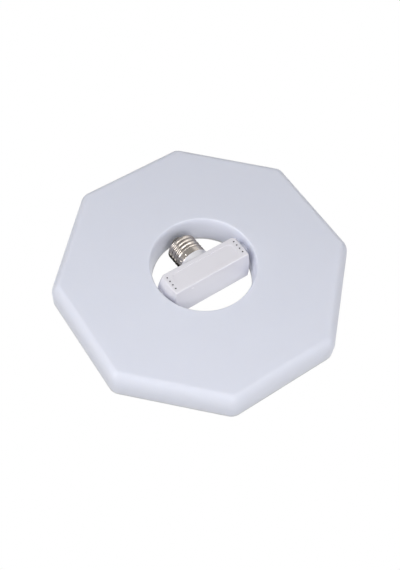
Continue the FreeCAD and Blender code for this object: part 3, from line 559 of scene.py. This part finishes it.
# Lamp thread: its turns, and the shares of its pitch over which it fades in and out.
THREAD_TURNS = 4
FADE_IN_SHARE = 0.6
FADE_OUT_SHARE = 0.4
# Rows of points along the skirt, the thread and the shoulder, and the power by which the shoulder bends.
SKIRT_ROWS = 24
THREAD_ROWS = 150
SHOULDER_ROWS = 14
SHOULDER_BEND = 1.6
# Punched points: turns about the cap's axis in degrees, height over the rim and radius of each dent.
PUNCH_TURNS = (-148.0, -120.0, 32.0, 60.0)
PUNCH_HEIGHT = 1.9 * MM
PUNCH_RADIUS = 0.75 * MM
# Rolled rim: the height over which it draws in, and how far.
LIP_HEIGHT = 0.5 * MM
LIP_DRAW = 0.12 * MM


def shell_profile(cap, rim, mouth):
    """Heights and radii of the shell without its thread: skirt, thread zone and shoulder to the mouth."""
    thread_start = rim + cap.skirt
    thread_end = thread_start + THREAD_TURNS * cap.pitch
    heights = np.concatenate([
        np.linspace(rim, thread_start, SKIRT_ROWS, endpoint=False),
        np.linspace(thread_start, thread_end, THREAD_ROWS, endpoint=False),
        np.linspace(thread_end, mouth, SHOULDER_ROWS),
    ])
    shoulder = np.clip((heights - thread_end) / (mouth - thread_end), 0.0, 1.0)
    radii = cap.crest_radius - (cap.crest_radius - cap.mouth_radius) * shoulder ** SHOULDER_BEND
    return heights, radii, thread_start, thread_end


def thread_surface(cap, rim, mouth, columns=256):
    """Rolled lamp thread.

    Radius = profile radius minus the thread's fall times half of (1 minus cosine of the helix phase),
    where the phase is height over pitch minus turn. The fall fades in and out over part of a turn at its
    ends. A round dent at each punched point and a small draw at the rim are taken off as well.
    """
    heights, radii, thread_start, thread_end = shell_profile(cap, rim, mouth)
    turn = np.linspace(0.0, 2 * np.pi, columns, endpoint=False)
    height, angle = np.meshgrid(heights, turn, indexing="ij")
    phase = 2 * np.pi * (height - thread_start) / cap.pitch - angle
    fade_in = np.clip((height - thread_start) / (FADE_IN_SHARE * cap.pitch), 0.0, 1.0)
    fade_out = np.clip((thread_end - height) / (FADE_OUT_SHARE * cap.pitch), 0.0, 1.0)
    fade = (3 - 2 * fade_in) * fade_in ** 2 * (3 - 2 * fade_out) * fade_out ** 2
    wave = 0.5 * (1 - np.cos(phase))
    radius = radii[:, None] - (cap.crest_radius - cap.root_radius) * fade * wave
    punch_height = rim + PUNCH_HEIGHT
    for degrees in PUNCH_TURNS:
        offset = (angle - math.radians(degrees) + np.pi) % (2 * np.pi) - np.pi
        reach = (offset * cap.crest_radius) ** 2 + (height - punch_height) ** 2
        radius = radius - cap.punch_depth * np.exp(-reach / PUNCH_RADIUS ** 2)
    lip = np.clip((height - rim) / LIP_HEIGHT, 0.0, 1.0)
    radius = radius - LIP_DRAW * (1 - lip) ** 2
    return np.stack([radius * np.cos(angle), radius * np.sin(angle), height], axis=-1)


class RINGLIGHT_OT_cap_shell(bpy.types.Operator):
    """Makes the screw shell with its true round helix in place of the plain one."""

    bl_idname = "ringlight.cap_shell"
    bl_label = "Make Screw Shell"

    def execute(self, context):
        cap = context.scene.ringlight_cap
        low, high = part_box("screw_shell")
        points = thread_surface(cap, low[2], high[2])
        piece = joined_grids("screw_shell_thread", [points[:, ::-1]])
        wall = piece.modifiers.new("wall", "SOLIDIFY")
        wall.thickness = cap.wall
        wall.offset = -1.0
        # Plating with a painted dark reflection towards its silhouette.
        plating = metal(
            "nickel plating", cap.metal_tint, roughness=0.24, marks=0.1, mark_scale=500.0, depth=0.000001,
            painted_edge_shade=0.35
        )
        piece.data.materials.append(plating)
        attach(piece, HEAD)
        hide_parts("screw_shell")
        return {"FINISHED"}


class RINGLIGHT_OT_cap_tip(bpy.types.Operator):
    """Gives the insulator and the centre contact their finishes."""

    bl_idname = "ringlight.cap_tip"
    bl_label = "Dress Cap Tip"

    def execute(self, context):
        glass = moulded(
            "black glass insulator", colour(22, 22, 24), roughness=0.12, drift=0.2, grain_scale=300.0,
            grain_depth=0.00002, coat=0.5
        )
        dress("cap_insulator", glass)
        contact = metal(
            "contact plating", colour(205, 198, 182), roughness=0.3, marks=0.2, mark_scale=900.0
        )
        dress("centre_contact", contact)
        return {"FINISHED"}


# Points closer than this are one point.
WELD_DISTANCE = 0.001 * MM
# Rows of points on a screw: across its top, down its cone and along its shank.
TOP_ROWS = 30
CONE_ROWS = 6
SHANK_ROWS = 84
# Softness of the cross's walls as a share of its width, and the power by which its wings run out.
RECESS_SOFTNESS = 0.16
RECESS_RUN_OUT = 0.5
# Turn in radians from one screw's cross to the next one's.
SCREW_SPIN = 1.3


def separate_solids(node):
    """Points of each separate solid of a CAD node, in the part's frame.

    Corners at the same place are one point, and each point takes the lowest label among its neighbours
    until the labels of a whole solid agree.
    """
    piece = frame["nodes"][node]
    count = len(piece.data.vertices)
    flat = np.empty(count * 3)
    piece.data.vertices.foreach_get("co", flat)
    matrix = np.array(piece.matrix_world)
    points = flat.reshape(-1, 3) @ matrix[:3, :3].T + matrix[:3, 3]
    ends = np.empty(len(piece.data.edges) * 2, dtype=np.int64)
    piece.data.edges.foreach_get("vertices", ends)
    places = np.round(points / WELD_DISTANCE).astype(np.int64)
    merged = np.unique(places, axis=0, return_inverse=True)[1].reshape(-1)
    first, second = merged[ends].reshape(-1, 2).T
    label = np.arange(merged.max() + 1)
    settled = False
    while not settled:
        before = label.copy()
        low = np.minimum(label[first], label[second])
        np.minimum.at(label, first, low)
        np.minimum.at(label, second, low)
        settled = bool(np.array_equal(before, label))
    return [points[label[merged] == value] for value in np.unique(label)]


def screw_points(look, head_radius, length, columns=40):
    """Countersunk screw with its flat top at the origin towards +Z.

    Top: height = minus the depth of the cross, a smooth step in the distance from the nearer wing's middle
    line that tapers to nothing at the wing's end. Below it a cone runs down to the shank, whose radius
    waves with the helix phase (depth over pitch minus turn), and the tip narrows to a point.
    """
    turn = np.linspace(0.0, 2 * np.pi, columns, endpoint=False)
    out = np.linspace(0.0, 1.0, TOP_ROWS) * head_radius
    sink = np.linspace(0.0, 1.0, CONE_ROWS)[1:]
    run = np.linspace(0.0, 1.0, SHANK_ROWS)[1:]
    shank_length = length - look.head_height
    radii = np.concatenate([
        out,
        head_radius - (head_radius - look.shank_radius) * sink,
        look.shank_radius * np.minimum(1.0, (1.0 - run) * shank_length / look.tip_length),
    ])
    depths = np.concatenate([0.0 * out, look.head_height * sink, look.head_height + shank_length * run])
    rows = len(out) + len(sink)
    depth, angle = np.meshgrid(depths, turn, indexing="ij")
    radius = np.repeat(radii[:, None], columns, axis=1)
    wave = 0.5 - 0.5 * np.cos(2 * np.pi * depth / look.thread_pitch - angle)
    radius[rows:] *= 1.0 - look.thread_share * wave[rows:]
    x = radius * np.cos(angle)
    y = radius * np.sin(angle)
    across = np.minimum(np.abs(x), np.abs(y))[:len(out)]
    along = np.maximum(np.abs(x), np.abs(y))[:len(out)]
    wing = np.clip((look.recess_width / 2 - across) / (RECESS_SOFTNESS * look.recess_width) + 0.5, 0.0, 1.0)
    taper = np.clip(1.0 - along / (look.recess_share * head_radius), 0.0, 1.0) ** RECESS_RUN_OUT
    z = -depth
    z[:len(out)] -= look.recess_depth * wing * taper
    return np.stack([x, y, z], axis=-1)


def stamp(points, place, outward, along):
    """Carries points from about +Z at the origin to a place whose outward direction is given."""
    side = outward.cross(along).normalized()
    return points @ np.array([along, side, outward]) + np.array(place)


class RINGLIGHT_OT_screws(bpy.types.Operator):
    """Makes the screws driven from behind in full, with their cross recesses and threads."""

    bl_idname = "ringlight.screws"
    bl_label = "Make Screws"

    def execute(self, context):
        look = context.scene.ringlight_screws
        steel = metal("zinc plated screws", look.metal_tint, roughness=0.32, marks=0.2, mark_scale=900.0)
        for node in ("led_board_screws", "driver_board_screws"):
            dress(node, steel)
        axes = np.array([RING_RIGHT, RING_UP, RING_NORMAL]).T
        back = -RING_NORMAL
        for node in ("cover_screws", "pivot_block_screws"):
            grids = []
            for number, solid in enumerate(separate_solids(node)):
                local = solid @ axes
                low = local.min(axis=0)
                high = local.max(axis=0)
                middle = (low + high) / 2
                top = axes @ np.array([middle[0], middle[1], low[2]])
                spin = SCREW_SPIN * number
                along = RING_RIGHT * math.cos(spin) + RING_UP * math.sin(spin)
                shape = screw_points(look, (high[0] - low[0]) / 2, high[2] - low[2])
                grids.append(stamp(shape, top, back, along))
            piece = joined_grids(node + "_threaded", grids)
            weld = piece.modifiers.new("closed poles", "WELD")
            weld.merge_threshold = WELD_DISTANCE
            piece.data.materials.append(steel)
            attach(piece, RING)
            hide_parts(node)
        return {"FINISHED"}


class RINGLIGHT_OT_bearings(bpy.types.Operator):
    """Gives the pivot's pieces their finishes."""

    bl_idname = "ringlight.bearings"
    bl_label = "Dress Pivot"

    def execute(self, context):
        bearing = moulded(
            "white bearing", colour(226, 228, 240), roughness=0.4, grain_scale=1500.0, subsurface=0.3
        )
        steel = metal(
            "bright zinc steel", colour(190, 190, 194), roughness=0.28, marks=0.2, mark_scale=800.0
        )
        for side in ("right", "left"):
            dress("pivot_block_" + side, bearing)
            for node in ("friction_washer_", "trunnion_", "trunnion_nut_"):
                dress(node + side, steel)
        return {"FINISHED"}


class RINGLIGHT_OT_light_board(bpy.types.Operator):
    """Gives the light board's pieces their finishes."""

    bl_idname = "ringlight.light_board"
    bl_label = "Dress Light Board"

    def execute(self, context):
        mask = moulded(
            "white board mask", colour(236, 238, 238), roughness=0.4, drift=0.05, grain_scale=2500.0,
            grain_depth=0.000004
        )
        dress("led_board", mask)
        phosphor = moulded(
            "yellow phosphor", colour(240, 214, 96), roughness=0.3, drift=0.1, grain_scale=3000.0,
            subsurface=0.2
        )
        dress("led_chips_outer", phosphor)
        dress("led_chips_inner", phosphor)
        dress("board_connector", moulded("white terminal", colour(236, 235, 228), roughness=0.3, drift=0.04))
        dress("ring_leads", moulded("red lead cover", colour(172, 30, 24), roughness=0.4, drift=0.1))
        return {"FINISHED"}


# Pieces inside the driver box: node, name of the finish, its colour and its roughness.
DRIVER_FINISHES = (
    ("driver_board", "green board mask", (28, 92, 52), 0.35),
    ("transformer_core", "ferrite grey", (46, 46, 48), 0.6),
    ("filter_choke", "choke black", (38, 38, 40), 0.5),
    ("transformer_winding", "yellow winding tape", (222, 176, 52), 0.35),
    ("bulk_capacitor", "black can sleeve", (30, 32, 36), 0.35),
    ("output_capacitor", "green can sleeve", (30, 70, 62), 0.35),
    ("film_capacitor", "red film resin", (176, 62, 38), 0.3),
    ("fuse_resistor", "green lacquer", (66, 110, 78), 0.45),
    ("bridge_rectifier", "black rectifier case", (24, 24, 25), 0.5),
    ("driver_chip", "black chip case", (26, 26, 27), 0.55),
    ("live_lead", "red mains lead", (172, 30, 24), 0.4),
    ("neutral_lead", "blue mains lead", (34, 62, 150), 0.4),
    ("output_leads", "red output leads", (168, 34, 28), 0.4),
)


class RINGLIGHT_OT_driver_parts(bpy.types.Operator):
    """Gives the pieces inside the driver box their finishes."""

    bl_idname = "ringlight.driver_parts"
    bl_label = "Dress Driver Parts"

    def execute(self, context):
        for node, name, tone, roughness in DRIVER_FINISHES:
            finish = moulded(
                name, colour(*tone), roughness, drift=0.12, grain_scale=1400.0, grain_depth=0.00002
            )
            dress(node, finish)
        return {"FINISHED"}


# The photograph's camera in the ring's frame. Its angles are in radians.
VIEW_ELEVATION = 1.04011
VIEW_ROLL = 0.088036
VIEW_YAW = math.radians(38.16)
# In millimetres: how far back it stands, how far left and down of the middle of the ring's face, and the
# height of that face over the pivot.
VIEW_DISTANCE = 682.39
VIEW_LEFT = 2.811
VIEW_DOWN = 17.673
FACE_HEIGHT = 13.6
# Focal length and longer side of the picture in pixels, and the width of the film in millimetres.
FOCAL_PIXELS = 839.46
PICTURE_PIXELS = 570.0
FILM_WIDTH = 36.0
NEAREST_SEEN = 0.01


def camera_axes():
    """The photograph's camera: where it stands and its right, up and back directions.

    The angles are measured in the ring's frame: the view drops from the ring's face by the elevation,
    the pivot's axis runs across the picture at the yaw, and the picture is rolled a little.
    """
    right = Vector((math.cos(VIEW_YAW), -math.sin(VIEW_YAW), 0.0))
    ahead = Vector((math.sin(VIEW_YAW), math.cos(VIEW_YAW), 0.0))
    back = ahead * -math.cos(VIEW_ELEVATION) + Vector((0, 0, math.sin(VIEW_ELEVATION)))
    up = ahead * math.sin(VIEW_ELEVATION) + Vector((0, 0, math.cos(VIEW_ELEVATION)))
    rolled_right = right * math.cos(VIEW_ROLL) + up * math.sin(VIEW_ROLL)
    rolled_up = up * math.cos(VIEW_ROLL) - right * math.sin(VIEW_ROLL)
    centre = back * VIEW_DISTANCE - rolled_right * VIEW_LEFT - rolled_up * VIEW_DOWN
    centre += Vector((0, 0, FACE_HEIGHT))

    def turned(vector):
        return RING_RIGHT * vector.x + RING_UP * vector.y + RING_NORMAL * vector.z

    return PIVOT + turned(centre) * MM, turned(rolled_right), turned(rolled_up), turned(back)


def add_camera(scene):
    """Sets up the photograph's camera and makes it the scene's own."""
    centre, right, up, back = camera_axes()
    data = bpy.data.cameras.new("camera")
    data.sensor_width = FILM_WIDTH
    data.lens = FILM_WIDTH * FOCAL_PIXELS / PICTURE_PIXELS
    data.clip_start = NEAREST_SEEN
    camera = bpy.data.objects.new("camera", data)
    camera.matrix_world = Matrix.Translation(centre) @ Matrix((right, up, back)).transposed().to_4x4()
    scene.collection.objects.link(camera)
    scene.camera = camera


def soft_lamp(name, power, offset, width, height, lights, mirrored):
    """Oblong area lamp that stands off the pivot and faces it; it lights, is mirrored, or does both."""
    data = bpy.data.lights.new(name, "AREA")
    data.energy = power
    data.shape = "RECTANGLE"
    data.size = width
    data.size_y = height
    lamp = bpy.data.objects.new(name, data)
    stand = Vector(offset)
    aim = (-stand).to_track_quat("-Z", "Y").to_matrix().to_4x4()
    lamp.matrix_world = Matrix.Translation(PIVOT + stand) @ aim
    bpy.context.scene.collection.objects.link(lamp)
    lamp.visible_diffuse = lights
    lamp.visible_glossy = mirrored


# Corners of a square of half side 1, in turn.
SQUARE = ((-1, -1), (1, -1), (1, 1), (-1, 1))


def looked_at(tree):
    """1 where the camera, a gloss or a glass looks straight at the surface, else 0."""
    path = tree.nodes.new("ShaderNodeLightPath")
    seen = maths(tree, "MAXIMUM", path.outputs["Is Camera Ray"], path.outputs["Is Glossy Ray"])
    seen = maths(tree, "MAXIMUM", seen, path.outputs["Is Transmission Ray"])
    return seen


def make_world(ambient):
    """Even light from all round that looks plain white."""
    world = bpy.data.worlds.new("studio")
    bpy.context.scene.world = world
    world.use_nodes = True
    tree = world.node_tree
    tree.nodes.clear()
    output = tree.nodes.new("ShaderNodeOutputWorld")
    mix = tree.nodes.new("ShaderNodeMixShader")
    tree.links.new(looked_at(tree), mix.inputs[0])
    for index, strength in ((1, ambient), (2, 1.0)):
        light = tree.nodes.new("ShaderNodeBackground")
        light.inputs["Color"].default_value = (1.0, 1.0, 1.0, 1.0)
        light.inputs["Strength"].default_value = strength
        tree.links.new(light.outputs[0], mix.inputs[index])
    tree.links.new(mix.outputs[0], output.inputs["Surface"])


# Brightness that the floor gains for the camera on top of the light that falls on it.
FLOOR_LIFT = 0.63
# Distance in metres from the floor's middle to its sides, its grey, its roughness and its gloss.
FLOOR_REACH = 6.0
FLOOR_TONE = 0.9
FLOOR_ROUGHNESS = 0.9
FLOOR_GLOSS = 0.1


def make_floor(drop):
    """Wide pale floor far below the hanging light, lifted to white for the eye but for its shadow."""
    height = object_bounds()[0][2] - drop
    mesh = bpy.data.meshes.new("floor")
    corners = [(x * FLOOR_REACH, y * FLOOR_REACH, height) for x, y in SQUARE]
    mesh.from_pydata(corners, [], [(0, 1, 2, 3)])
    floor = bpy.data.objects.new("floor", mesh)
    bpy.context.scene.collection.objects.link(floor)
    material, tree, shader = new_material("pale floor")
    shader.inputs["Base Color"].default_value = (FLOOR_TONE, FLOOR_TONE, FLOOR_TONE, 1.0)
    shader.inputs["Roughness"].default_value = FLOOR_ROUGHNESS
    shader.inputs["Specular IOR Level"].default_value = FLOOR_GLOSS
    shader.inputs["Emission Color"].default_value = (1.0, 1.0, 1.0, 1.0)
    tree.links.new(maths(tree, "MULTIPLY", looked_at(tree), FLOOR_LIFT), shader.inputs["Emission Strength"])
    mesh.materials.append(material)
    floor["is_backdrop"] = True


# Lamps: place off the pivot, width and height in metres, then whether each lights and whether it is
# mirrored.
KEY_LAMP = ((-0.74, -0.6, 0.06), 0.6, 0.6, True, False)
LOW_LAMP = ((-0.14, -0.62, -0.75), 0.5, 0.5, True, False)
LINE_LAMP = ((-0.88, -0.36, 0.03), 0.9, 0.3, False, True)
BACK_LAMP = ((0.7, 0.6, 0.65), 0.8, 0.8, True, True)
# Height of the cap's middle over the pivot in metres.
CAP_RISE = 0.03
# Cards that the cap mirrors: turn about the cap and lift in degrees, distance, width and height in metres,
# and tone. Two dark ones behind it shade the thread's sides, a wide and a near grey one in front of it
# give the plating its grey, and a bright strip below draws the streaks along the thread.
CARDS = (
    (-150.0, 10.0, 0.07, 0.07, 0.1, 0.01),
    (112.0, 25.0, 0.12, 0.1, 0.2, 0.08),
    (-15.0, 25.0, 1.5, 3.0, 3.0, 0.44),
    (-25.0, -52.0, 0.07, 0.16, 0.075, 0.5),
    (10.0, -40.0, 0.065, 0.1, 0.014, 4.0),
)


def mirror_card(name, turn, lift, distance, width, height, tone):
    """Card that only mirroring surfaces see, facing the cap from a given direction."""
    turned = math.radians(turn)
    lifted = math.radians(lift)
    direction = Vector((
        math.sin(turned) * math.cos(lifted), -math.cos(turned) * math.cos(lifted), math.sin(lifted)
    ))
    place = PIVOT + Vector((0.0, 0.0, CAP_RISE)) + direction * distance
    mesh = bpy.data.meshes.new(name)
    corners = [(x * width / 2, y * height / 2, 0.0) for x, y in SQUARE]
    mesh.from_pydata(corners, [], [(0, 1, 2, 3)])
    card = bpy.data.objects.new(name, mesh)
    card.matrix_world = Matrix.Translation(place) @ direction.to_track_quat("Z", "Y").to_matrix().to_4x4()
    bpy.context.scene.collection.objects.link(card)
    card.visible_camera = False
    card.visible_diffuse = False
    card.visible_shadow = False
    card.visible_transmission = False
    material, tree, shader = new_material(name + " card")
    shader.inputs["Base Color"].default_value = (0.0, 0.0, 0.0, 1.0)
    shader.inputs["Specular IOR Level"].default_value = 0.0
    shader.inputs["Emission Color"].default_value = (1.0, 1.0, 1.0, 1.0)
    shader.inputs["Emission Strength"].default_value = tone
    mesh.materials.append(material)
    card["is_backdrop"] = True


class RINGLIGHT_OT_studio(bpy.types.Operator):
    """Sets up the world, the floor, the lamps, the mirrored cards and the camera."""

    bl_idname = "ringlight.studio"
    bl_label = "Set Up Studio"

    def execute(self, context):
        studio = context.scene.ringlight_studio
        make_world(studio.ambient)
        make_floor(studio.floor_drop)
        soft_lamp("key", studio.key_power, *KEY_LAMP)
        soft_lamp("low", studio.low_power, *LOW_LAMP)
        soft_lamp("line", studio.line_power, *LINE_LAMP)
        soft_lamp("back", studio.back_power, *BACK_LAMP)
        for index, card in enumerate(CARDS):
            mirror_card("card %d" % index, *card)
        add_camera(context.scene)
        context.scene.view_settings.view_transform = "Standard"
        return {"FINISHED"}


class RINGLIGHT_PT_panel(bpy.types.Panel):
    """Lists the light's pieces and their settings."""

    bl_label = "Ring Light"
    bl_idname = "RINGLIGHT_PT_panel"
    bl_space_type = "VIEW_3D"
    bl_region_type = "UI"
    bl_category = "Ring Light"

    def draw(self, context):
        layout = self.layout
        for kind in OPERATORS:
            layout.operator(kind.bl_idname)
        for name, kind in SETTINGS:
            box = layout.box()
            box.label(text=kind.__doc__.rstrip("."))
            for field in kind.__annotations__:
                box.prop(getattr(context.scene, name), field)


SETTINGS = (
    ("ringlight_ring", RINGLIGHT_PG_ring),
    ("ringlight_head", RINGLIGHT_PG_head),
    ("ringlight_cap", RINGLIGHT_PG_cap),
    ("ringlight_screws", RINGLIGHT_PG_screws),
    ("ringlight_studio", RINGLIGHT_PG_studio),
)
OPERATORS = (
    RINGLIGHT_OT_ring,
    RINGLIGHT_OT_driver_box,
    RINGLIGHT_OT_cap_shell,
    RINGLIGHT_OT_cap_tip,
    RINGLIGHT_OT_screws,
    RINGLIGHT_OT_bearings,
    RINGLIGHT_OT_light_board,
    RINGLIGHT_OT_driver_parts,
    RINGLIGHT_OT_studio,
)


def register():
    """Registers the settings, the operators and the panel."""
    for name, kind in SETTINGS:
        bpy.utils.register_class(kind)
        setattr(bpy.types.Scene, name, bpy.props.PointerProperty(type=kind))
    for kind in OPERATORS:
        bpy.utils.register_class(kind)
    bpy.utils.register_class(RINGLIGHT_PT_panel)


def unregister():
    """Takes back what register did, in the opposite order."""
    bpy.utils.unregister_class(RINGLIGHT_PT_panel)
    for kind in reversed(OPERATORS):
        bpy.utils.unregister_class(kind)
    for name, kind in reversed(SETTINGS):
        delattr(bpy.types.Scene, name)
        bpy.utils.unregister_class(kind)


def main():
    """Makes every piece in order."""
    register()
    bpy.ops.ringlight.ring()
    bpy.ops.ringlight.driver_box()
    bpy.ops.ringlight.cap_shell()
    bpy.ops.ringlight.cap_tip()
    bpy.ops.ringlight.screws()
    bpy.ops.ringlight.bearings()
    bpy.ops.ringlight.light_board()
    bpy.ops.ringlight.driver_parts()
    bpy.ops.ringlight.studio()


if __name__ == "__main__":
    main()
